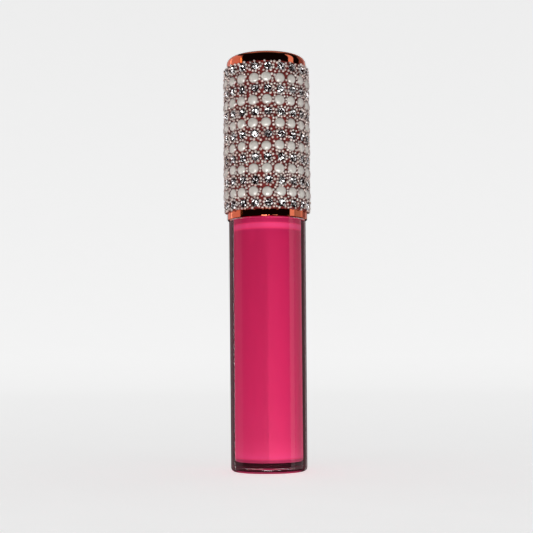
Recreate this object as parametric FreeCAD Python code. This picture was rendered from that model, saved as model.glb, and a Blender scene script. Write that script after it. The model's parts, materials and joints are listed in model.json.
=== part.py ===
"""Lip gloss tube with a screw cap, a dip-in applicator and a beaded cap wrap.

The tube stands upright. +Z runs up its axis and the origin is the centre of the flat base.
All sizes are in millimetres. Each sub-part is written to parts/NODE.step.
"""
import FreeCAD
import Part
import math
import os

from FreeCAD import Vector

# Whole object
TOTAL_HEIGHT = 103.9
CAP_BOTTOM_Z = 62.45

# Clear thick-walled tube
TUBE_RADIUS_TOP = 9.65
TUBE_RADIUS_BASE = 9.45
SHOULDER_Z = 62.3
BASE_THICKNESS = 2.4
BASE_EDGE_FILLET = 1.0
SHOULDER_FILLET = 0.25
CAVITY_RADIUS = 5.6
CAVITY_FLOOR_FILLET = 0.5
CAVITY_TOP_Z = 62.6
CAVITY_NECK_Z = 63.4

# Threaded neck
NECK_RADIUS = 6.5
NECK_BORE_RADIUS = 4.75
NECK_TOP_Z = 77.0
THREAD_PITCH = 2.5
THREAD_TURNS = 2.0
THREAD_START_Z = 66.0
THREAD_CREST_RADIUS = 7.05
THREAD_BASE_WIDTH = 1.3
THREAD_CREST_WIDTH = 0.5
THREAD_EMBED = 0.2
RUNNING_CLEARANCE = 0.05

# Wiper pressed into the neck
WIPER_WALL = 0.8
WIPER_FLANGE_RADIUS = 6.1
WIPER_FLANGE_THICKNESS = 0.7
WIPER_FLANGE_FILLET = 0.2
WIPER_CONE_TOP_Z = 68.0
WIPER_CONE_BOTTOM_Z = 65.2
WIPER_BOTTOM_Z = 64.2
WIPER_ORIFICE_RADIUS = 2.15
WIPER_LIP_RADIUS = 2.9

# Applicator
ROD_RADIUS = 2.05
ROD_SHOULDER_Z = 18.0
ROD_SPIGOT_RADIUS = 1.2
ROD_SPIGOT_Z = 14.5
ROD_TOP_Z = 90.6
ROD_TOP_FILLET = 0.3
ROD_SNAP_Z = 88.2
ROD_SNAP_HEIGHT = 0.8
ROD_SNAP_DEPTH = 0.2
TIP_RADIUS = 2.1
TIP_BOTTOM_Z = 6.0
TIP_SLANT_TOP_Z = 13.8
TIP_SLANT_BOTTOM_X = -0.7

# Gloss: fills the cavity, with a clear channel where the wand stands
GLOSS_TOP_Z = 63.3
WAND_CHANNEL_GAP = 0.2

# Cap: thin metal shell over a moulded liner
SHELL_RADIUS = 10.05
SHELL_WALL = 0.6
SHELL_TOP_FILLET = 1.5
SHELL_LIP_FILLET = 0.25
LINER_RECESS = 0.4
LINER_THREAD_RADIUS = 7.65
LINER_MOUTH_CHAMFER = 0.3
LINER_BULKHEAD = 2.2
LINER_WALL = 1.0
LINER_FLOOR_FILLET = 0.5
LINER_BOSS_RADIUS = 3.4
LINER_BOSS_TOP_Z = 92.0
LINER_RIB_COUNT = 6
LINER_RIB_THICKNESS = 1.0
LINER_RIB_TOP_Z = 90.0
LINER_RIB_INNER_EMBED = 0.5
LINER_RIB_OUTER_EMBED = 0.3

# Beaded wrap round the cap
WRAP_BOTTOM_Z = 64.3
WRAP_TOP_Z = 101.05
WRAP_EDGE_MARGIN = 1.35
BACKING_THICKNESS = 0.2
PEARL_ROWS = 6
CRYSTAL_ROWS = PEARL_ROWS + 1
STONES_PER_ROW = 20
PEARL_RADIUS = 1.35
PEARL_HEIGHT = 0.85
CRYSTAL_SHIFT_DEG = 2.0
CRYSTAL_RADIUS = 1.05
CRYSTAL_BACK_RADIUS = 0.9
CRYSTAL_TABLE_RADIUS = 0.55
CRYSTAL_GIRDLE_HEIGHT = 0.15
CRYSTAL_HEIGHT = 0.45
CRYSTAL_FACETS = 12
BEAD_RING_INNER_RADIUS = 1.08
BEAD_RING_OUTER_RADIUS = 1.4
BEAD_RING_HEIGHT = 0.5

# Worked out from the values above
UP = Vector(0, 0, 1)
ORIGIN = Vector(0, 0, 0)
SHELL_INNER_RADIUS = SHELL_RADIUS - SHELL_WALL
SHELL_CEILING_Z = TOTAL_HEIGHT - SHELL_WALL
WIPER_TOP_Z = NECK_TOP_Z + WIPER_FLANGE_THICKNESS
BULKHEAD_Z = WIPER_TOP_Z + RUNNING_CLEARANCE
LINER_BOTTOM_Z = CAP_BOTTOM_Z + LINER_RECESS
SOCKET_RADIUS = ROD_RADIUS + RUNNING_CLEARANCE
SOCKET_TOP_Z = ROD_TOP_Z + RUNNING_CLEARANCE
BACKING_RADIUS = SHELL_RADIUS + BACKING_THICKNESS
ROW_STEP = (WRAP_TOP_Z - WRAP_BOTTOM_Z - 2 * WRAP_EDGE_MARGIN) / (PEARL_ROWS + CRYSTAL_ROWS - 1)
FIRST_ROW_Z = WRAP_BOTTOM_Z + WRAP_EDGE_MARGIN


def at(radius, z):
    """A point of a turned profile, in the XZ plane."""
    return Vector(radius, 0, z)


def rounded_wire(corners):
    """Closed wire through (radius, z, fillet) corners; a fillet of 0 leaves the corner sharp."""
    points = [at(radius, z) for radius, z, _ in corners]
    edges = []
    starts = []
    ends = []
    arcs = []
    for i, point in enumerate(points):
        fillet = corners[i][2]
        if fillet == 0:
            starts.append(point)
            ends.append(point)
            arcs.append(None)
            continue
        back = (points[i - 1] - point).normalize()
        ahead = (points[(i + 1) % len(points)] - point).normalize()
        half_turn = back.getAngle(ahead) / 2
        reach = fillet / math.tan(half_turn)
        middle = (back + ahead).normalize() * (fillet / math.sin(half_turn) - fillet)
        starts.append(point + back * reach)
        ends.append(point + ahead * reach)
        arcs.append(Part.Arc(starts[i], point + middle, ends[i]).toShape())
    for i in range(len(points)):
        if arcs[i]:
            edges.append(arcs[i])
        edges.append(Part.LineSegment(ends[i], starts[(i + 1) % len(points)]).toShape())
    return Part.Wire(edges)


def turned(corners):
    """Solid turned about the Z axis from a closed profile."""
    solid = Part.Face(rounded_wire(corners)).revolve(ORIGIN, UP, 360)
    if solid.Volume < 0:
        solid.reverse()
    return solid


def cylinder(radius, bottom_z, top_z):
    return Part.makeCylinder(radius, top_z - bottom_z, at(0, bottom_z))


def thread_ridge(root_radius, crest_radius, start_z, turns):
    """Helical trapezoid ridge whose root is sunk a little into the wall it grows from."""
    outward = math.copysign(1, crest_radius - root_radius)
    sunk = root_radius - outward * THREAD_EMBED
    half_root = THREAD_BASE_WIDTH / 2
    half_crest = THREAD_CREST_WIDTH / 2
    section = Part.makePolygon([
        at(sunk, -half_root),
        at(crest_radius, -half_crest),
        at(crest_radius, half_crest),
        at(sunk, half_root),
        at(sunk, -half_root),
    ])
    path = Part.Wire(Part.makeHelix(THREAD_PITCH, THREAD_PITCH * turns, root_radius))
    ridge = path.makePipeShell([section], True, True)
    ridge.translate(at(0, start_z))
    return ridge


def tube_body():
    body = turned([
        (0, 0, 0),
        (TUBE_RADIUS_BASE, 0, BASE_EDGE_FILLET),
        (TUBE_RADIUS_TOP, SHOULDER_Z, SHOULDER_FILLET),
        (NECK_RADIUS, SHOULDER_Z, 0),
        (NECK_RADIUS, NECK_TOP_Z, 0),
        (NECK_BORE_RADIUS, NECK_TOP_Z, 0),
        (NECK_BORE_RADIUS, CAVITY_NECK_Z, 0),
        (CAVITY_RADIUS, CAVITY_TOP_Z, 0),
        (CAVITY_RADIUS, BASE_THICKNESS, CAVITY_FLOOR_FILLET),
        (0, BASE_THICKNESS, 0),
    ])
    return body.fuse(thread_ridge(NECK_RADIUS, THREAD_CREST_RADIUS, THREAD_START_Z, THREAD_TURNS))


def wiper():
    inner = NECK_BORE_RADIUS - WIPER_WALL
    return turned([
        (WIPER_ORIFICE_RADIUS, WIPER_BOTTOM_Z, 0),
        (WIPER_LIP_RADIUS, WIPER_BOTTOM_Z, 0),
        (NECK_BORE_RADIUS, WIPER_CONE_TOP_Z, 0),
        (NECK_BORE_RADIUS, NECK_TOP_Z, 0),
        (WIPER_FLANGE_RADIUS, NECK_TOP_Z, 0),
        (WIPER_FLANGE_RADIUS, WIPER_TOP_Z, WIPER_FLANGE_FILLET),
        (inner, WIPER_TOP_Z, WIPER_FLANGE_FILLET),
        (inner, WIPER_CONE_TOP_Z, 0),
        (WIPER_ORIFICE_RADIUS, WIPER_CONE_BOTTOM_Z, 0),
    ])


def gloss_fill():
    neck_share = (GLOSS_TOP_Z - CAVITY_TOP_Z) / (CAVITY_NECK_Z - CAVITY_TOP_Z)
    top_radius = CAVITY_RADIUS - neck_share * (CAVITY_RADIUS - NECK_BORE_RADIUS)
    fill = turned([
        (0, BASE_THICKNESS, 0),
        (CAVITY_RADIUS, BASE_THICKNESS, CAVITY_FLOOR_FILLET),
        (CAVITY_RADIUS, CAVITY_TOP_Z, 0),
        (top_radius, GLOSS_TOP_Z, 0),
        (0, GLOSS_TOP_Z, 0),
    ])
    return fill.cut(cylinder(TIP_RADIUS + WAND_CHANNEL_GAP, TIP_BOTTOM_Z - WAND_CHANNEL_GAP, GLOSS_TOP_Z))


def snap_profile(radius, bottom_z):
    """Corners of a bead of this radius, bottom to top, as a groove or a ridge on a cylinder."""
    top_z = bottom_z + ROD_SNAP_HEIGHT
    return [
        (radius, bottom_z, 0),
        (radius + ROD_SNAP_DEPTH, bottom_z + ROD_SNAP_DEPTH, 0),
        (radius + ROD_SNAP_DEPTH, top_z - ROD_SNAP_DEPTH, 0),
        (radius, top_z, 0),
    ]


def applicator_rod():
    return turned([
        (0, ROD_SPIGOT_Z, 0),
        (ROD_SPIGOT_RADIUS, ROD_SPIGOT_Z, 0),
        (ROD_SPIGOT_RADIUS, ROD_SHOULDER_Z, 0),
        (ROD_RADIUS, ROD_SHOULDER_Z, 0),
        *snap_profile(ROD_RADIUS, ROD_SNAP_Z),
        (ROD_RADIUS, ROD_TOP_Z, ROD_TOP_FILLET),
        (0, ROD_TOP_Z, 0),
    ])


def applicator_tip():
    """Doe-foot: a round-ended pad with one face slanted for spreading."""
    dome_z = TIP_BOTTOM_Z + TIP_RADIUS
    pad = cylinder(TIP_RADIUS, dome_z, ROD_SHOULDER_Z).fuse(Part.makeSphere(TIP_RADIUS, at(0, dome_z)))
    high = at(TIP_RADIUS, TIP_SLANT_TOP_Z)
    low = at(TIP_SLANT_BOTTOM_X, TIP_BOTTOM_Z)
    outer = at(2 * TIP_RADIUS, TIP_BOTTOM_Z - TIP_RADIUS)
    wedge = Part.Face(Part.makePolygon([
        high + (high - low),
        low - (high - low),
        outer,
        outer + (high - low) * 2,
        high + (high - low),
    ]))
    wedge.translate(Vector(0, -2 * TIP_RADIUS, 0))
    pad = pad.cut(wedge.extrude(Vector(0, 4 * TIP_RADIUS, 0)))
    return pad.removeSplitter().cut(cylinder(ROD_SPIGOT_RADIUS, ROD_SPIGOT_Z, ROD_SHOULDER_Z))


def inner_cap():
    """Moulded liner: female thread below, a blind socket for the rod above, ribs round the socket."""
    floor_z = BULKHEAD_Z + LINER_BULKHEAD
    wall_inner = SHELL_INNER_RADIUS - LINER_WALL
    liner = turned([
        (SHELL_INNER_RADIUS, LINER_BOTTOM_Z, 0),
        (SHELL_INNER_RADIUS, SHELL_CEILING_Z, 0),
        (wall_inner, SHELL_CEILING_Z, 0),
        (wall_inner, floor_z, LINER_FLOOR_FILLET),
        (LINER_BOSS_RADIUS, floor_z, LINER_FLOOR_FILLET),
        (LINER_BOSS_RADIUS, LINER_BOSS_TOP_Z, 0),
        (0, LINER_BOSS_TOP_Z, 0),
        (0, SOCKET_TOP_Z, 0),
        (SOCKET_RADIUS, SOCKET_TOP_Z, 0),
        *reversed(snap_profile(SOCKET_RADIUS, ROD_SNAP_Z)),
        (SOCKET_RADIUS, BULKHEAD_Z, 0),
        (LINER_THREAD_RADIUS, BULKHEAD_Z, 0),
        (LINER_THREAD_RADIUS, LINER_BOTTOM_Z + LINER_MOUTH_CHAMFER, 0),
        (LINER_THREAD_RADIUS + LINER_MOUTH_CHAMFER, LINER_BOTTOM_Z, 0),
    ])
    rib_inner = LINER_BOSS_RADIUS - LINER_RIB_INNER_EMBED
    rib_length = wall_inner + LINER_RIB_OUTER_EMBED - rib_inner
    for i in range(LINER_RIB_COUNT):
        corner = Vector(rib_inner, -LINER_RIB_THICKNESS / 2, floor_z - LINER_RIB_INNER_EMBED)
        rib = Part.makeBox(rib_length, LINER_RIB_THICKNESS, LINER_RIB_TOP_Z - corner.z, corner)
        rib.rotate(ORIGIN, UP, 360 * i / LINER_RIB_COUNT)
        liner = liner.fuse(rib)
    female_crest = THREAD_CREST_RADIUS + RUNNING_CLEARANCE
    ridge = thread_ridge(LINER_THREAD_RADIUS, female_crest, THREAD_START_Z, THREAD_TURNS)
    return liner.fuse(ridge)


def cap_shell():
    return turned([
        (SHELL_INNER_RADIUS, CAP_BOTTOM_Z, SHELL_LIP_FILLET),
        (SHELL_RADIUS, CAP_BOTTOM_Z, SHELL_LIP_FILLET),
        (SHELL_RADIUS, TOTAL_HEIGHT, SHELL_TOP_FILLET),
        (0, TOTAL_HEIGHT, 0),
        (0, SHELL_CEILING_Z, 0),
        (SHELL_INNER_RADIUS, SHELL_CEILING_Z, 0),
    ])


def wrap_backing():
    outer = cylinder(BACKING_RADIUS, WRAP_BOTTOM_Z, WRAP_TOP_Z)
    return outer.cut(cylinder(SHELL_RADIUS, WRAP_BOTTOM_Z, WRAP_TOP_Z))


def half_pearl():
    """Flat-backed pearl, standing on the XY plane."""
    ball = (PEARL_RADIUS ** 2 + PEARL_HEIGHT ** 2) / (2 * PEARL_HEIGHT)
    sink = PEARL_HEIGHT - ball
    base_latitude = math.degrees(math.asin(-sink / ball))
    return Part.makeSphere(ball, at(0, sink), UP, base_latitude, 90, 360)


def facet_ring(radius, z):
    """Corners of a regular polygon with one corner per facet."""
    corners = []
    for i in range(CRYSTAL_FACETS):
        angle = 2 * math.pi * i / CRYSTAL_FACETS
        corners.append(Vector(radius * math.cos(angle), radius * math.sin(angle), z))
    return corners


def flat_face(corners):
    return Part.Face(Part.makePolygon(corners + corners[:1]))


def crystal():
    """Flat-backed faceted stone, standing on the XY plane."""
    rings = [
        facet_ring(CRYSTAL_BACK_RADIUS, 0),
        facet_ring(CRYSTAL_RADIUS, CRYSTAL_GIRDLE_HEIGHT),
        facet_ring(CRYSTAL_TABLE_RADIUS, CRYSTAL_HEIGHT),
    ]
    faces = [flat_face(rings[0]), flat_face(rings[-1])]
    for lower, upper in zip(rings, rings[1:]):
        for i in range(CRYSTAL_FACETS):
            after = (i + 1) % CRYSTAL_FACETS
            faces.append(flat_face([lower[i], lower[after], upper[after], upper[i]]))
    stone = Part.Solid(Part.makeShell(faces))
    if stone.Volume < 0:
        stone.reverse()
    return stone


def bead_ring():
    """Plain ring with the outer size of the small beads set round one stone."""
    ring = Part.makeCylinder(BEAD_RING_OUTER_RADIUS, BEAD_RING_HEIGHT)
    return ring.cut(Part.makeCylinder(BEAD_RING_INNER_RADIUS, BEAD_RING_HEIGHT))


def row_of(piece, row, shift_deg):
    """Copies of one piece set round the backing, facing outward, as separate solids."""
    z = FIRST_ROW_Z + row * ROW_STEP
    copies = []
    for i in range(STONES_PER_ROW):
        copy = piece.copy()
        copy.rotate(ORIGIN, Vector(0, 1, 0), 90)
        copy.translate(Vector(BACKING_RADIUS, 0, z))
        copy.rotate(ORIGIN, UP, 360 * i / STONES_PER_ROW + shift_deg)
        copies.append(copy)
    return Part.makeCompound(copies)


def all_parts():
    parts = {
        "tube_body": tube_body(),
        "wiper": wiper(),
        "gloss_fill": gloss_fill(),
        "applicator_rod": applicator_rod(),
        "applicator_tip": applicator_tip(),
        "inner_cap": inner_cap(),
        "cap_shell": cap_shell(),
        "wrap_backing": wrap_backing(),
    }
    pearl = half_pearl()
    stone = crystal()
    ring = bead_ring()
    for i in range(PEARL_ROWS):
        parts[f"pearl_row_{i + 1}"] = row_of(pearl, 2 * i + 1, 0)
    for i in range(CRYSTAL_ROWS):
        parts[f"crystal_row_{i + 1}"] = row_of(stone, 2 * i, CRYSTAL_SHIFT_DEG)
        parts[f"bead_ring_row_{i + 1}"] = row_of(ring, 2 * i, CRYSTAL_SHIFT_DEG)
    return parts


os.makedirs("parts", exist_ok=True)
for name, shape in all_parts().items():
    shape.exportStep(f"parts/{name}.step")
    print(f"{name}: {len(shape.Solids)} solids, {shape.Volume:.2f} mm3, valid {shape.isValid()}")
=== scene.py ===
import json
import math
import random

import bpy
import numpy as np
from mathutils import Euler, Matrix, Vector

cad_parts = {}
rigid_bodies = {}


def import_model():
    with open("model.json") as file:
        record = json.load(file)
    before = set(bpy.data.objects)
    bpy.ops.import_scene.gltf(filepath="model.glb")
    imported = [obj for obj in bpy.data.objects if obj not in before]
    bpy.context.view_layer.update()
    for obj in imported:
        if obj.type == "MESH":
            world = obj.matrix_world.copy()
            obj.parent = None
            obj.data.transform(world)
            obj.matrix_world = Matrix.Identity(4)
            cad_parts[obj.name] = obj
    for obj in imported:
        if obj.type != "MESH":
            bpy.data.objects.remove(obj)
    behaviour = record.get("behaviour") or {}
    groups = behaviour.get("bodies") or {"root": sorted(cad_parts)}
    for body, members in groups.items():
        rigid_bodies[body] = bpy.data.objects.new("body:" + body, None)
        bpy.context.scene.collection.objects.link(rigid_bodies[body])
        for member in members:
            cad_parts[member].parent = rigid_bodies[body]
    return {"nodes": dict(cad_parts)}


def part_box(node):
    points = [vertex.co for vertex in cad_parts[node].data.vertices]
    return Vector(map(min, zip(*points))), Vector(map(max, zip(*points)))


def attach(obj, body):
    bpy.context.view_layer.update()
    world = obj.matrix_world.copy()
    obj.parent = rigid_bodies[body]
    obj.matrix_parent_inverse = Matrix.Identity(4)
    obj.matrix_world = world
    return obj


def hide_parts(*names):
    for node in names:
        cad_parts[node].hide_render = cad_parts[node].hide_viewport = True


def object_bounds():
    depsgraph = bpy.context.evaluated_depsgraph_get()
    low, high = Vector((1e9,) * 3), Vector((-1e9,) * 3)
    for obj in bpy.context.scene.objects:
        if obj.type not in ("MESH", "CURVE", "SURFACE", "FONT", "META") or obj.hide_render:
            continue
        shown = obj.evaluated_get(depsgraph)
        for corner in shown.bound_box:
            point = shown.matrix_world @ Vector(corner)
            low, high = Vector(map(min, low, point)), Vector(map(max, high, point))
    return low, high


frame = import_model()
CAD_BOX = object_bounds()
NODES = frame["nodes"]
MM = 0.001

# Places read from the frame, in metres
TUBE_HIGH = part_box("tube_body")[1]
BACKING_LOW, BACKING_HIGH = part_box("wrap_backing")
GLOSS_LOW, GLOSS_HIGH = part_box("gloss_fill")
TIP_LOW, TIP_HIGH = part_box("applicator_tip")
BACKING_RADIUS = BACKING_HIGH.x
PEARL_TOP_RADIUS = CAD_BOX[1].x

# The wrap
PEARL_ROWS = 6
CRYSTAL_ROWS = 7
STONES_PER_ROW = 20
COLUMN_STEP = 2 * math.pi / STONES_PER_ROW
CRYSTAL_SHIFT = math.radians(2.0)
PEARL_RADIUS = 1.35 * MM
CRYSTAL_RADIUS = 1.05 * MM
BEAD_RADIUS = 0.36 * MM

# How far the stones stand out of place: along the row, up, and in radians
PEARL_JITTER = (0.20 * MM, 0.14 * MM)
PEARL_TILT = 0.04
PEARL_SINK = 0.05 * MM
CRYSTAL_JITTER = (0.15 * MM, 0.12 * MM)
CRYSTAL_TILT = 0.07
CRYSTAL_SPIN = 0.4

# How close the small beads stand, in bead radii
RING_SPACING = 1.75
FILL_SPACING = 1.82
CRYSTAL_GAP = 0.45
PEARL_GAP = 0.25
BEADS_PER_RING = 10
BEAD_TRIES = 30000
BEAD_LIMIT = 4000
BEAD_EDGE_MARGIN = 0.1 * MM

rng = random.Random(41)


# ---------------------------------------------------------------- mesh helpers

def mesh_object(name, vertices, faces, smooth=True):
    mesh = bpy.data.meshes.new(name)
    mesh.from_pydata([tuple(v) for v in vertices], [], faces)
    mesh.validate()
    mesh.update()
    mesh.polygons.foreach_set("use_smooth", [smooth] * len(mesh.polygons))
    piece = bpy.data.objects.new(name, mesh)
    bpy.context.scene.collection.objects.link(piece)
    return piece


def lathe(name, profile, segments=144):
    """Closed surface turned about Z from (radius, z) points; a point on the axis becomes a pole."""
    vertices = []
    rings = []
    for radius, z in profile:
        if radius == 0:
            rings.append([len(vertices)])
            vertices.append((0, 0, z))
            continue
        rings.append(list(range(len(vertices), len(vertices) + segments)))
        for i in range(segments):
            angle = 2 * math.pi * i / segments
            vertices.append((radius * math.cos(angle), radius * math.sin(angle), z))
    faces = []
    for lower, upper in zip(rings, rings[1:]):
        for i in range(segments):
            j = (i + 1) % segments
            if len(lower) == 1:
                faces.append((lower[0], upper[j], upper[i]))
            elif len(upper) == 1:
                faces.append((lower[i], lower[j], upper[0]))
            else:
                faces.append((lower[i], lower[j], upper[j], upper[i]))
    return mesh_object(name, vertices, faces)


def arc(centre_radius, centre_z, radius, start_deg, end_deg, steps=8):
    """Points of a profile arc, angles measured from the outward direction towards +Z."""
    points = []
    for i in range(steps + 1):
        angle = math.radians(start_deg + (end_deg - start_deg) * i / steps)
        points.append((centre_radius + radius * math.cos(angle), centre_z + radius * math.sin(angle)))
    return points


def placed(local, angle, z, radius, spin=0.0, tilt=(0.0, 0.0)):
    """Turns points whose +Z is outward so that they stand on a cylinder round the Z axis."""
    turn = Matrix.Rotation(angle, 3, "Z") @ Matrix.Rotation(math.pi / 2, 3, "Y")
    lean = Euler((tilt[0], tilt[1], spin)).to_matrix()
    matrix = np.array(turn @ lean)
    centre = np.array((radius * math.cos(angle), radius * math.sin(angle), z))
    return np.asarray(local) @ matrix.T + centre


def joined(name, copies, faces, smooth=True):
    """One object from several copies of the same small mesh."""
    count = len(copies[0])
    vertices = np.vstack(copies)
    all_faces = []
    for k in range(len(copies)):
        offset = k * count
        all_faces.extend(tuple(i + offset for i in face) for face in faces)
    return mesh_object(name, vertices, all_faces, smooth)


# ---------------------------------------------------------------- material helpers

def new_material(name):
    material = bpy.data.materials.new(name)
    material.use_nodes = True
    tree = material.node_tree
    return material, tree, tree.nodes["Principled BSDF"]


def noise(tree, scale, detail=3.0, roughness=0.5, stretch=(1, 1, 1)):
    """Noise in the object's own coordinates, in cells for each metre."""
    coordinates = tree.nodes.new("ShaderNodeTexCoord")
    mapping = tree.nodes.new("ShaderNodeMapping")
    mapping.inputs["Scale"].default_value = stretch
    texture = tree.nodes.new("ShaderNodeTexNoise")
    texture.inputs["Scale"].default_value = scale
    texture.inputs["Detail"].default_value = detail
    texture.inputs["Roughness"].default_value = roughness
    tree.links.new(coordinates.outputs["Object"], mapping.inputs["Vector"])
    tree.links.new(mapping.outputs["Vector"], texture.inputs["Vector"])
    return texture.outputs["Fac"]


def object_height(tree):
    """Z in the object's own coordinates, in metres."""
    coordinates = tree.nodes.new("ShaderNodeTexCoord")
    axes = tree.nodes.new("ShaderNodeSeparateXYZ")
    tree.links.new(coordinates.outputs["Object"], axes.inputs["Vector"])
    return axes.outputs["Z"]


def height_off_backing(tree, low, high):
    """0 to 1 between two heights above the wrap's backing, measured out from the tube's axis."""
    coordinates = tree.nodes.new("ShaderNodeTexCoord")
    flat = tree.nodes.new("ShaderNodeVectorMath")
    flat.operation = "MULTIPLY"
    flat.inputs[1].default_value = (1, 1, 0)
    reach = tree.nodes.new("ShaderNodeVectorMath")
    reach.operation = "LENGTH"
    tree.links.new(coordinates.outputs["Object"], flat.inputs[0])
    tree.links.new(flat.outputs["Vector"], reach.inputs[0])
    return ranged(tree, reach.outputs["Value"], 0, 1, BACKING_RADIUS + low, BACKING_RADIUS + high)


def ranged(tree, value, low, high, from_low=0.3, from_high=0.7):
    node = tree.nodes.new("ShaderNodeMapRange")
    node.inputs["From Min"].default_value = from_low
    node.inputs["From Max"].default_value = from_high
    node.inputs["To Min"].default_value = low
    node.inputs["To Max"].default_value = high
    tree.links.new(value, node.inputs["Value"])
    return node.outputs["Result"]


def blended(tree, factor, first, second):
    """Colour between two RGB triples."""
    node = tree.nodes.new("ShaderNodeMix")
    node.data_type = "RGBA"
    node.inputs["A"].default_value = (*first, 1)
    node.inputs["B"].default_value = (*second, 1)
    tree.links.new(factor, node.inputs["Factor"])
    return node.outputs["Result"]


def rimmed(tree, factor, rim, colour):
    """A fixed rim colour at factor 0 that gives way to a colour socket at factor 1."""
    node = tree.nodes.new("ShaderNodeMix")
    node.data_type = "RGBA"
    node.inputs["A"].default_value = (*rim, 1)
    tree.links.new(colour, node.inputs["B"])
    tree.links.new(factor, node.inputs["Factor"])
    return node.outputs["Result"]


def bumped(tree, shader, height, strength, distance):
    node = tree.nodes.new("ShaderNodeBump")
    node.inputs["Strength"].default_value = strength
    node.inputs["Distance"].default_value = distance
    tree.links.new(height, node.inputs["Height"])
    tree.links.new(node.outputs["Normal"], shader.inputs["Normal"])


def lets_lamps_through(material, tree, shader, tint):
    """Clear material whose shadow is clear too, so that what stands inside it is lit."""
    output = tree.nodes["Material Output"]
    path = tree.nodes.new("ShaderNodeLightPath")
    clear = tree.nodes.new("ShaderNodeBsdfTransparent")
    clear.inputs["Color"].default_value = (*tint, 1)
    mix = tree.nodes.new("ShaderNodeMixShader")
    tree.links.new(path.outputs["Is Shadow Ray"], mix.inputs["Fac"])
    tree.links.new(shader.outputs["BSDF"], mix.inputs[1])
    tree.links.new(clear.outputs["BSDF"], mix.inputs[2])
    tree.links.new(mix.outputs["Shader"], output.inputs["Surface"])
    return material


# ---------------------------------------------------------------- materials

def clear_wall():
    material, tree, shader = new_material("clear_wall")
    shader.inputs["Base Color"].default_value = (0.97, 0.90, 0.92, 1)
    shader.inputs["Transmission Weight"].default_value = 1.0
    shader.inputs["IOR"].default_value = 1.5
    # Painted glow: a faint pink emission stands in for light from the gloss gathered in the wall.
    shader.inputs["Emission Color"].default_value = (1.0, 0.17, 0.28, 1)
    shader.inputs["Emission Strength"].default_value = 0.008
    smears = noise(tree, 180, detail=4)
    tree.links.new(ranged(tree, smears, 0.0, 0.02), shader.inputs["Roughness"])
    ripples = noise(tree, 90, detail=1, stretch=(1, 1, 0.2))
    bumped(tree, shader, ripples, 0.04, 0.2 * MM)
    return lets_lamps_through(material, tree, shader, (0.97, 0.93, 0.94))


def pink_gloss():
    """Opaque liquid with painted light: painted pale bands where light gathers, at the floor's corner and
    just under the shoulder, and painted brightening towards the bottom.
    """
    material, tree, shader = new_material("pink_gloss")
    height = ranged(tree, object_height(tree), 0, 1, GLOSS_LOW.z, GLOSS_HIGH.z)
    body = (0.60, 0.022, 0.112, 1)
    painted_light_band = (1.00, 0.070, 0.240, 1)
    # Painted light along the height: darker right at the floor, a painted pale band at the corner, painted
    # brightening towards the bottom, and a painted pale band under the shoulder.
    stops = [
        (0.000, (0.50, 0.040, 0.120, 1)),
        (0.008, (0.50, 0.040, 0.120, 1)),
        (0.020, painted_light_band),
        (0.045, (0.90, 0.056, 0.200, 1)),
        (0.100, (0.80, 0.042, 0.168, 1)),
        (0.250, (0.74, 0.032, 0.148, 1)),
        (0.550, (0.68, 0.026, 0.130, 1)),
        (0.938, (0.60, 0.021, 0.110, 1)),
        (0.951, painted_light_band),
        (0.963, painted_light_band),
        (0.970, body),
    ]
    ramp = tree.nodes.new("ShaderNodeValToRGB")
    elements = ramp.color_ramp.elements
    for _ in range(len(stops) - 2):
        elements.new(0.5)
    for element, (position, colour) in zip(elements, stops):
        element.position = position
        element.color = colour
    tree.links.new(height, ramp.inputs["Fac"])
    tree.links.new(ramp.outputs["Color"], shader.inputs["Base Color"])
    # Painted glow: the ramp's colours also go out as emission, standing in for light scattered inside the
    # gloss.
    tree.links.new(ramp.outputs["Color"], shader.inputs["Emission Color"])
    shader.inputs["Emission Strength"].default_value = 0.32
    shader.inputs["Roughness"].default_value = 0.45
    shader.inputs["Specular IOR Level"].default_value = 0.1
    bumped(tree, shader, noise(tree, 70, detail=2, stretch=(1, 1, 0.35)), 0.1, 0.2 * MM)
    return material


def rose_gold():
    material, tree, shader = new_material("rose_gold")
    drift = noise(tree, 120, detail=2)
    colour = blended(tree, ranged(tree, drift, 0, 1), (0.90, 0.22, 0.11), (0.93, 0.27, 0.14))
    tree.links.new(colour, shader.inputs["Base Color"])
    shader.inputs["Metallic"].default_value = 1.0
    smears = noise(tree, 600, detail=5)
    tree.links.new(ranged(tree, smears, 0.03, 0.09), shader.inputs["Roughness"])
    return material


def pearl_lacquer():
    material, tree, shader = new_material("pearl_lacquer")
    cloud = noise(tree, 900, detail=2)
    colour = blended(tree, ranged(tree, cloud, 0, 1), (0.52, 0.49, 0.45), (0.64, 0.61, 0.56))
    # Painted shade: dark reddish colour at the pearl's foot by the backing stands in for contact shadow and
    # the resin's red reflection.
    painted_rim_shade = rimmed(tree, height_off_backing(tree, 0.08 * MM, 0.50 * MM), (0.26, 0.060, 0.050), colour)
    tree.links.new(painted_rim_shade, shader.inputs["Base Color"])
    shader.inputs["Roughness"].default_value = 0.35
    shader.inputs["Coat Weight"].default_value = 1.0
    shader.inputs["Coat IOR"].default_value = 2.0
    shader.inputs["Coat Roughness"].default_value = 0.15
    return material


def crystal_glass():
    material, tree, shader = new_material("crystal_glass")
    shader.inputs["Base Color"].default_value = (0.97, 0.96, 0.97, 1)
    shader.inputs["Transmission Weight"].default_value = 1.0
    shader.inputs["IOR"].default_value = 1.56
    wear = noise(tree, 2500, detail=2)
    tree.links.new(ranged(tree, wear, 0.0, 0.03), shader.inputs["Roughness"])
    return material


def mirror_foil():
    material, tree, shader = new_material("mirror_foil")
    cloud = noise(tree, 1500, detail=2)
    colour = blended(tree, ranged(tree, cloud, 0, 1), (0.70, 0.69, 0.69), (0.90, 0.89, 0.88))
    tree.links.new(colour, shader.inputs["Base Color"])
    shader.inputs["Metallic"].default_value = 1.0
    shader.inputs["Roughness"].default_value = 0.10
    return material


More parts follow.
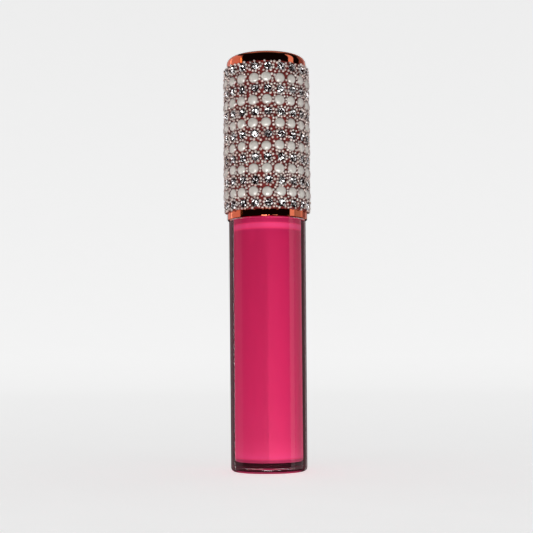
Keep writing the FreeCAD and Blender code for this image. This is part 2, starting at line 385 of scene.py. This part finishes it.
def caviar_bead():
    material, tree, shader = new_material("caviar_bead")
    cloud = noise(tree, 1300, detail=1)
    colour = blended(tree, ranged(tree, cloud, 0, 1), (0.88, 0.66, 0.59), (1.0, 0.94, 0.89))
    # Painted shade: near-black red at the bead's foot by the backing stands in for the shade between beads.
    painted_foot_shade = rimmed(tree, height_off_backing(tree, 0.22 * MM, 0.62 * MM), (0.10, 0.014, 0.012), colour)
    tree.links.new(painted_foot_shade, shader.inputs["Base Color"])
    shader.inputs["Metallic"].default_value = 0.6
    shader.inputs["Roughness"].default_value = 0.36
    shader.inputs["Coat Weight"].default_value = 1.0
    shader.inputs["Coat Roughness"].default_value = 0.12
    return material


def wrap_resin():
    material, tree, shader = new_material("wrap_resin")
    cloud = noise(tree, 700, detail=4)
    colour = blended(tree, ranged(tree, cloud, 0, 1), (0.12, 0.012, 0.010), (0.28, 0.034, 0.028))
    tree.links.new(colour, shader.inputs["Base Color"])
    shader.inputs["Roughness"].default_value = 0.3
    bumped(tree, shader, cloud, 0.5, 0.1 * MM)
    return material


def moulded_plastic(name, dark, light, roughness):
    material, tree, shader = new_material(name)
    cloud = noise(tree, 300, detail=3)
    tree.links.new(blended(tree, ranged(tree, cloud, 0, 1), dark, light), shader.inputs["Base Color"])
    shader.inputs["Subsurface Weight"].default_value = 0.15
    shader.inputs["Subsurface Scale"].default_value = 1.0 * MM
    grain = noise(tree, 4000, detail=2)
    tree.links.new(ranged(tree, grain, roughness - 0.06, roughness + 0.06), shader.inputs["Roughness"])
    bumped(tree, shader, grain, 0.15, 0.02 * MM)
    return material


def stained_rod():
    """Moulded rod with a film of gloss that thins out up to the wiper."""
    material, tree, shader = new_material("rod_plastic")
    film = ranged(tree, object_height(tree), 1.0, 0.0, TIP_HIGH.z, GLOSS_HIGH.z)
    streaks = ranged(tree, noise(tree, 500, detail=3, stretch=(1, 1, 0.15)), 0.35, 1.0)
    wet = tree.nodes.new("ShaderNodeMath")
    wet.operation = "MULTIPLY"
    tree.links.new(film, wet.inputs[0])
    tree.links.new(streaks, wet.inputs[1])
    colour = blended(tree, wet.outputs["Value"], (0.80, 0.78, 0.76), (0.80, 0.16, 0.30))
    tree.links.new(colour, shader.inputs["Base Color"])
    shader.inputs["Roughness"].default_value = 0.2
    shader.inputs["Coat Weight"].default_value = 0.6
    shader.inputs["Coat Roughness"].default_value = 0.05
    bumped(tree, shader, noise(tree, 260, detail=2, stretch=(1, 1, 0.3)), 0.15, 0.1 * MM)
    return material


def wet_flock():
    material, tree, shader = new_material("wet_flock")
    fibres = noise(tree, 9000, detail=3, stretch=(1, 1, 0.6))
    colour = blended(tree, ranged(tree, fibres, 0, 1), (0.62, 0.05, 0.16), (0.86, 0.28, 0.40))
    tree.links.new(colour, shader.inputs["Base Color"])
    shader.inputs["Roughness"].default_value = 0.55
    shader.inputs["Sheen Weight"].default_value = 0.5
    shader.inputs["Coat Weight"].default_value = 0.3
    shader.inputs["Coat Roughness"].default_value = 0.2
    bumped(tree, shader, fibres, 0.8, 0.1 * MM)
    return material


def studio_paper():
    """Pale paper that glows a little, more further out, so that the wall is as light as the floor."""
    material, tree, shader = new_material("studio_paper")
    tooth = noise(tree, 60, detail=4)
    colour = blended(tree, ranged(tree, tooth, 0, 1), (0.79, 0.79, 0.79), (0.82, 0.82, 0.82))
    tree.links.new(colour, shader.inputs["Base Color"])
    shader.inputs["Roughness"].default_value = 0.9
    shader.inputs["Specular IOR Level"].default_value = 0.1
    shader.inputs["Emission Color"].default_value = (1.0, 1.0, 1.0, 1)
    coordinates = tree.nodes.new("ShaderNodeTexCoord")
    reach = tree.nodes.new("ShaderNodeVectorMath")
    reach.operation = "LENGTH"
    tree.links.new(coordinates.outputs["Object"], reach.inputs[0])
    glow = ranged(tree, reach.outputs["Value"], 0.50, 0.76, 0.05, 1.1)
    tree.links.new(glow, shader.inputs["Emission Strength"])
    return material


# ---------------------------------------------------------------- the wrap's pieces

def row_z(row):
    """Height of a row's centres; even rows are crystals and odd rows are pearls."""
    first = sum(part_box("crystal_row_1"), Vector()).z / 2
    last = sum(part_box(f"crystal_row_{CRYSTAL_ROWS}"), Vector()).z / 2
    return first + (last - first) * row / (PEARL_ROWS + CRYSTAL_ROWS - 1)


def jittered(row, shift, jitter):
    """(angle, z) of a row's stones, each a little out of place as if set by hand."""
    along, up = jitter
    places = []
    for i in range(STONES_PER_ROW):
        angle = COLUMN_STEP * i + shift + rng.uniform(-along, along) / BACKING_RADIUS
        places.append((angle, row_z(row) + rng.uniform(-up, up)))
    return places


def pearl_mesh():
    """Half pearl standing on its flat back, +Z outward."""
    height = PEARL_TOP_RADIUS - BACKING_RADIUS
    around = 28
    up = 9
    fullness = 0.94
    vertices = [(0, 0, height)]
    for j in range(1, up + 1):
        angle = math.pi / 2 * j / up
        for i in range(around):
            turn = 2 * math.pi * i / around
            radius = PEARL_RADIUS * math.sin(angle) ** fullness
            vertices.append((radius * math.cos(turn), radius * math.sin(turn), height * math.cos(angle)))
    vertices.append((0, 0, 0))
    faces = []
    for i in range(around):
        k = (i + 1) % around
        faces.append((0, 1 + i, 1 + k))
        for j in range(up - 1):
            low = 1 + j * around
            faces.append((low + i, low + around + i, low + around + k, low + k))
        rim = 1 + (up - 1) * around
        faces.append((len(vertices) - 1, rim + k, rim + i))
    return np.array(vertices), faces


def crystal_mesh():
    """Chaton, +Z outward: table and crown in glass, pavilion below the girdle in foil."""
    sides = 8
    table = 0.55 * CRYSTAL_RADIUS
    crown_z = 0.58 * MM
    girdle_z = 0.33 * MM
    vertices = [(0, 0, 0.11 * MM)]
    for radius, z in ((table, crown_z), (CRYSTAL_RADIUS, girdle_z)):
        for i in range(sides):
            turn = 2 * math.pi * (i + 0.5) / sides
            vertices.append((radius * math.cos(turn), radius * math.sin(turn), z))
    top = 1
    girdle = 1 + sides
    glass = [tuple(range(top, top + sides))]
    foil = []
    for i in range(sides):
        k = (i + 1) % sides
        glass.append((top + i, girdle + i, girdle + k, top + k))
        foil.append((0, girdle + k, girdle + i))
    return np.array(vertices), glass, foil


def ball_mesh():
    """Icosahedron divided once more and pushed out to a sphere of radius 1."""
    golden = (1 + math.sqrt(5)) / 2
    vertices = []
    for a, b in ((1, golden), (-1, golden), (1, -golden), (-1, -golden)):
        vertices.extend([(a, b, 0), (0, a, b), (b, 0, a)])
    vertices = [Vector(v).normalized() for v in vertices]
    edge = min((vertices[0] - v).length for v in vertices[1:]) * 1.01
    count = len(vertices)
    near = [[j for j in range(count) if j != i and (vertices[i] - vertices[j]).length < edge]
            for i in range(count)]
    faces = []
    for i in range(count):
        for j in near[i]:
            for k in near[i]:
                if i < j < k and k in near[j]:
                    outward = (vertices[j] - vertices[i]).cross(vertices[k] - vertices[i])
                    faces.append((i, j, k) if outward.dot(vertices[i]) > 0 else (i, k, j))
    middles = {}

    def middle(a, b):
        key = (min(a, b), max(a, b))
        if key not in middles:
            middles[key] = len(vertices)
            vertices.append((vertices[a] + vertices[b]).normalized())
        return middles[key]

    divided = []
    for a, b, c in faces:
        ab, bc, ca = middle(a, b), middle(b, c), middle(c, a)
        divided.extend([(a, ab, ca), (b, bc, ab), (c, ca, bc), (ab, bc, ca)])
    return np.array(vertices), divided


def bead_places(pearls, crystals):
    """(arc length, z, row) of the small beads: a ring round each crystal, then the gaps filled."""
    lap = 2 * math.pi * BACKING_RADIUS
    stones = np.array([(a * BACKING_RADIUS, z) for row in crystals for a, z in row])
    domes = np.array([(a * BACKING_RADIUS, z) for row in pearls for a, z in row])
    low = BACKING_LOW.z + BEAD_EDGE_MARGIN
    high = BACKING_HIGH.z - BEAD_EDGE_MARGIN
    taken = np.empty((BEAD_LIMIT, 2))
    count = 0

    def gap_to(points, place):
        along = np.abs(points[:, 0] - place[0]) % lap
        along = np.minimum(along, lap - along)
        return np.hypot(along, points[:, 1] - place[1]).min()

    def offer(place, room):
        nonlocal count
        if not low < place[1] < high:
            return
        if count and gap_to(taken[:count], place) < room:
            return
        if gap_to(stones, place) < CRYSTAL_RADIUS + CRYSTAL_GAP * BEAD_RADIUS:
            return
        if gap_to(domes, place) < PEARL_RADIUS + PEARL_GAP * BEAD_RADIUS:
            return
        taken[count] = place
        count += 1

    for s, z in stones:
        start = rng.uniform(0, 1)
        for i in range(BEADS_PER_RING):
            turn = 2 * math.pi * (i + start + rng.uniform(-0.12, 0.12)) / BEADS_PER_RING
            reach = CRYSTAL_RADIUS + BEAD_RADIUS * rng.uniform(0.6, 1.2)
            place = (s + reach * math.cos(turn), z + reach * math.sin(turn))
            offer(place, RING_SPACING * BEAD_RADIUS)
    for _ in range(BEAD_TRIES):
        offer((rng.uniform(0, lap), rng.uniform(low, high)), FILL_SPACING * BEAD_RADIUS)
    return taken[:count]


def build_wrap(materials):
    pearls = [jittered(2 * i + 1, 0.0, PEARL_JITTER) for i in range(PEARL_ROWS)]
    crystals = [jittered(2 * i, CRYSTAL_SHIFT, CRYSTAL_JITTER) for i in range(CRYSTAL_ROWS)]

    shape, faces = pearl_mesh()
    for i, places in enumerate(pearls):
        copies = []
        for angle, z in places:
            size = rng.uniform(0.96, 1.04)
            tilt = (rng.uniform(-PEARL_TILT, PEARL_TILT), rng.uniform(-PEARL_TILT, PEARL_TILT))
            copies.append(placed(shape * (size, size, 1), angle, z, BACKING_RADIUS - PEARL_SINK, tilt=tilt))
        piece = joined(f"half_pearls_{i + 1}", copies, faces)
        piece.data.materials.append(materials["pearl"])
        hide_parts(f"pearl_row_{i + 1}")
        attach(piece, "cap")

    shape, glass, foil = crystal_mesh()
    for i, places in enumerate(crystals):
        copies = []
        for angle, z in places:
            tilt = (rng.uniform(-CRYSTAL_TILT, CRYSTAL_TILT), rng.uniform(-CRYSTAL_TILT, CRYSTAL_TILT))
            spin = rng.uniform(-CRYSTAL_SPIN, CRYSTAL_SPIN)
            copies.append(placed(shape, angle, z, BACKING_RADIUS, spin, tilt))
        piece = joined(f"crystals_{i + 1}", copies, glass + foil, smooth=False)
        piece.data.materials.append(materials["crystal"])
        piece.data.materials.append(materials["foil"])
        slots = ([0] * len(glass) + [1] * len(foil)) * STONES_PER_ROW
        piece.data.polygons.foreach_set("material_index", slots)
        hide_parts(f"crystal_row_{i + 1}")
        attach(piece, "cap")

    ball, ball_faces = ball_mesh()
    rows = [[] for _ in range(CRYSTAL_ROWS)]
    centres = [row_z(2 * i) for i in range(CRYSTAL_ROWS)]
    for s, z in bead_places(pearls, crystals):
        nearest = min(range(CRYSTAL_ROWS), key=lambda k: abs(centres[k] - z))
        size = BEAD_RADIUS * rng.uniform(0.82, 1.06)
        depth = BACKING_RADIUS + size * rng.uniform(0.8, 1.3)
        rows[nearest].append(placed(ball * size, s / BACKING_RADIUS, z, depth))
    for i, copies in enumerate(rows):
        piece = joined(f"caviar_beads_{i + 1}", copies, ball_faces)
        piece.data.materials.append(materials["bead"])
        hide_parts(f"bead_ring_row_{i + 1}")
        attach(piece, "cap")


# ---------------------------------------------------------------- the gloss

def build_gloss(material):
    """The gloss wets the wall, so it stands a hair outside the cavity and no air shows between them."""
    wetting = 0.02 * MM
    radius = GLOSS_HIGH.x + wetting
    bottom = GLOSS_LOW.z - wetting
    top = GLOSS_HIGH.z
    corner = 0.5 * MM
    neck_length = 14.4 * MM
    neck_step = 0.74 * MM
    channel_gap = 0.2 * MM
    shoulder_z = TUBE_HIGH.z - neck_length
    channel_radius = TIP_HIGH.y + channel_gap
    channel_floor = TIP_LOW.z - channel_gap
    profile = [(0, bottom), (0.5 * radius, bottom)]
    profile += arc(radius - corner, bottom + corner, corner, -90, 0, 12)
    profile += [(radius, bottom + (top - bottom) * k / 8) for k in range(1, 8)]
    profile += [(radius, shoulder_z), (radius - neck_step, top), (channel_radius, top)]
    profile += [(channel_radius, channel_floor), (0, channel_floor)]
    piece = lathe("gloss", profile)
    piece.data.materials.append(material)
    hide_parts("gloss_fill")
    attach(piece, "tube")


# ---------------------------------------------------------------- the applicator's flock

def build_flock(material):
    """Short bristles standing all over the tip, each a slender three-sided spike."""
    bristles = 9000
    length = 0.17 * MM
    width = 0.022 * MM
    spread = 0.3
    droop = -0.1
    top_margin = 0.02 * MM
    tip = NODES["applicator_tip"].data
    tip.calc_loop_triangles()
    corners = np.array([[tip.vertices[v].co[:] for v in t.vertices] for t in tip.loop_triangles])
    across = np.cross(corners[:, 1] - corners[:, 0], corners[:, 2] - corners[:, 0])
    areas = np.linalg.norm(across, axis=1) / 2
    totals = np.cumsum(areas)
    vertices = []
    faces = []
    while len(faces) < 3 * bristles:
        k = min(int(np.searchsorted(totals, rng.uniform(0, totals[-1]))), len(areas) - 1)
        u, v = sorted((rng.random(), rng.random()))
        root = Vector(corners[k][0] * u + corners[k][1] * (v - u) + corners[k][2] * (1 - v))
        normal = Vector(across[k]).normalized()
        lean = Vector((rng.gauss(0, spread), rng.gauss(0, spread), rng.gauss(droop, spread)))
        grow = (normal + lean).normalized()
        if root.z > TIP_HIGH.z - top_margin:
            continue
        side = grow.orthogonal().normalized()
        other = grow.cross(side)
        start = len(vertices)
        for i in range(3):
            turn = 2 * math.pi * i / 3
            vertices.append(root + (side * math.cos(turn) + other * math.sin(turn)) * width)
        vertices.append(root + grow * length * rng.uniform(0.7, 1.0))
        point = start + 3
        faces.extend([(start, start + 1, point), (start + 1, start + 2, point), (start + 2, start, point)])
    piece = mesh_object("flock_bristles", vertices, faces)
    piece.data.materials.append(material)
    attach(piece, "wand")


# ---------------------------------------------------------------- stage, lights and camera

def build_stage(material):
    """A round cove: a flat floor that curves up into a wall on all sides."""
    floor_radius = 0.9
    curve = 0.6
    wall_top = 2.4
    profile = [(0, 0), (0.2, 0), (0.5, 0)]
    profile += arc(floor_radius, curve, curve, -90, 0, 16)
    profile += [(floor_radius + curve, wall_top)]
    cove = lathe("cove", profile, 96)
    cove.data.materials.append(material)
    cove.visible_diffuse = False
    cove.visible_glossy = False
    cove.visible_transmission = False
    cove.visible_shadow = False
    return cove


def sheltered(cove):
    """Collection that keeps the panels' light off the cove, so that no lamp shows on the floor."""
    shelter = bpy.data.collections.new("panel_light")
    shelter.objects.link(cove)
    shelter.collection_objects[0].light_linking.link_state = "EXCLUDE"
    return shelter


def panel(name, azimuth, elevation, distance, size, radiance, mirrored=True, tint=(1, 1, 1)):
    """Area light on a sphere round the object's middle; azimuth 0 is in front and +90 to the right."""
    middle = Vector((0, 0, (CAD_BOX[0].z + CAD_BOX[1].z) / 2))
    a = math.radians(azimuth)
    e = math.radians(elevation)
    out = Vector((math.sin(a) * math.cos(e), -math.cos(a) * math.cos(e), math.sin(e)))
    data = bpy.data.lights.new(name, "AREA")
    data.shape = "RECTANGLE"
    data.size = size[0]
    data.size_y = size[1]
    data.color = tint
    data.energy = radiance * math.pi * size[0] * size[1]
    light = bpy.data.objects.new(name, data)
    light.location = middle + out * distance
    light.rotation_euler = out.to_track_quat("Z", "Y").to_euler()
    light.visible_camera = False
    light.visible_glossy = mirrored
    light.visible_transmission = False
    bpy.context.scene.collection.objects.link(light)
    return light


def build_world():
    """Dark room: black in mirrors and through clear walls, a little grey light elsewhere."""
    world = bpy.data.worlds.new("studio")
    world.use_nodes = True
    tree = world.node_tree
    path = tree.nodes.new("ShaderNodeLightPath")
    mirrors = blended(tree, path.outputs["Is Glossy Ray"], (0.08, 0.08, 0.08), (0.004, 0.003, 0.003))
    walls = tree.nodes.new("ShaderNodeMix")
    walls.data_type = "RGBA"
    walls.inputs["B"].default_value = (0.010, 0.003, 0.004, 1)
    tree.links.new(path.outputs["Is Transmission Ray"], walls.inputs["Factor"])
    tree.links.new(mirrors, walls.inputs["A"])
    tree.links.new(walls.outputs["Result"], tree.nodes["Background"].inputs["Color"])
    bpy.context.scene.world = world


def lit_only(name, pieces):
    """Collection that keeps a panel's light to some pieces."""
    chosen = bpy.data.collections.new(name)
    for piece in pieces:
        chosen.objects.link(piece)
    return chosen


def build_sparkle():
    """Small bright panels above and below that only the cut stones mirror."""
    stones = [bpy.data.objects[f"crystals_{i + 1}"] for i in range(CRYSTAL_ROWS)]
    chosen = lit_only("stone_light", stones)
    places = ((-150, 30), (-105, -12), (-72, 34), (-48, -22), (-3, -27),
              (14, 32), (30, -25), (68, -24), (96, 26), (130, -10), (175, 20))
    for i, (azimuth, elevation) in enumerate(places):
        light = panel(f"sparkle_{i + 1}", azimuth, elevation, 0.45, (0.14, 0.13), 5.5)
        light.visible_transmission = True
        light.light_linking.receiver_collection = chosen


def build_lights(cove):
    panels = [
        panel("low_key", -3, -27, 0.34, (0.15, 0.12), 12.0),
        panel("low_side", 30, -25, 0.36, (0.08, 0.08), 7.0),
        panel("left_panel", -122, 10, 0.50, (0.80, 0.80), 0.32, tint=(1.0, 0.72, 0.78)),
        panel("left_sliver", -77, 16, 0.50, (0.05, 0.12), 1.7, tint=(1.0, 0.72, 0.35)),
        panel("left_line", -124.5, 6, 0.48, (0.012, 0.45), 3.5),
        panel("right_strip", 76, 10, 0.50, (0.15, 0.80), 0.80, tint=(1.0, 0.90, 0.92)),
        panel("right_panel", 128, 12, 0.50, (0.30, 0.50), 0.22, tint=(1.0, 0.70, 0.72)),
        panel("right_low_panel", 104, -5, 0.50, (0.32, 0.28), 0.40),
        panel("right_back_strip", 152, 10, 0.50, (0.14, 0.80), 0.6, tint=(1.0, 0.85, 0.85)),
        panel("front_fill", 0, -35, 0.70, (1.3, 0.5), 0.75, mirrored=False),
        panel("left_fill", -58, -8, 0.70, (0.7, 0.5), 1.75, mirrored=False),
        panel("right_fill", 65, -8, 0.70, (0.7, 0.5), 0.75, mirrored=False),
        panel("back_fill", 180, 5, 0.70, (1.1, 0.5), 2.6, mirrored=False),
    ]
    shelter = sheltered(cove)
    for light in panels:
        light.light_linking.receiver_collection = shelter
    metal_only = lit_only("metal_light", [NODES["cap_shell"]])
    for light in (
        panel("metal_side_panel", -122, 10, 0.51, (0.80, 0.80), 0.32, tint=(1.0, 0.80, 0.78)),
        panel("metal_top_panel", 180, 74, 0.60, (0.50, 0.50), 0.35, tint=(1.0, 0.90, 0.88)),
    ):
        light.light_linking.receiver_collection = metal_only
    build_sparkle()
    panel("overhead", 0, 88, 0.80, (1.1, 1.1), 0.9, mirrored=False)
    build_world()


def build_camera():
    """Low in front of the tube and tipped up, at the reference view's distance and angle."""
    distance = 293.3 * MM
    height = 26 * MM
    data = bpy.data.cameras.new("camera")
    data.sensor_width = 36
    data.lens = 79.0
    data.dof.use_dof = False
    camera = bpy.data.objects.new("camera", data)
    camera.location = (-0.3 * MM, -distance, height)
    pitch = math.radians(90 + 4.85)
    roll = math.radians(-0.45)
    aim = Matrix.Rotation(pitch, 4, "X") @ Matrix.Rotation(roll, 4, "Z")
    camera.rotation_euler = aim.to_euler()
    bpy.context.scene.collection.objects.link(camera)
    bpy.context.scene.camera = camera


# ---------------------------------------------------------------- the whole scene

def paint(node, material):
    mesh = NODES[node].data
    mesh.materials.clear()
    mesh.materials.append(material)


def build():
    materials = {
        "pearl": pearl_lacquer(),
        "crystal": crystal_glass(),
        "foil": mirror_foil(),
        "bead": caviar_bead(),
    }
    paint("tube_body", clear_wall())
    paint("cap_shell", rose_gold())
    paint("wrap_backing", wrap_resin())
    paint("wiper", moulded_plastic("wiper_plastic", (0.74, 0.72, 0.68), (0.84, 0.82, 0.78), 0.35))
    paint("inner_cap", moulded_plastic("liner_plastic", (0.70, 0.69, 0.67), (0.80, 0.79, 0.77), 0.40))
    paint("applicator_rod", stained_rod())
    flock = wet_flock()
    paint("applicator_tip", flock)
    build_flock(flock)
    build_gloss(pink_gloss())
    build_wrap(materials)
    build_lights(build_stage(studio_paper()))
    build_camera()
    bpy.context.scene.view_settings.view_transform = "Standard"


build()
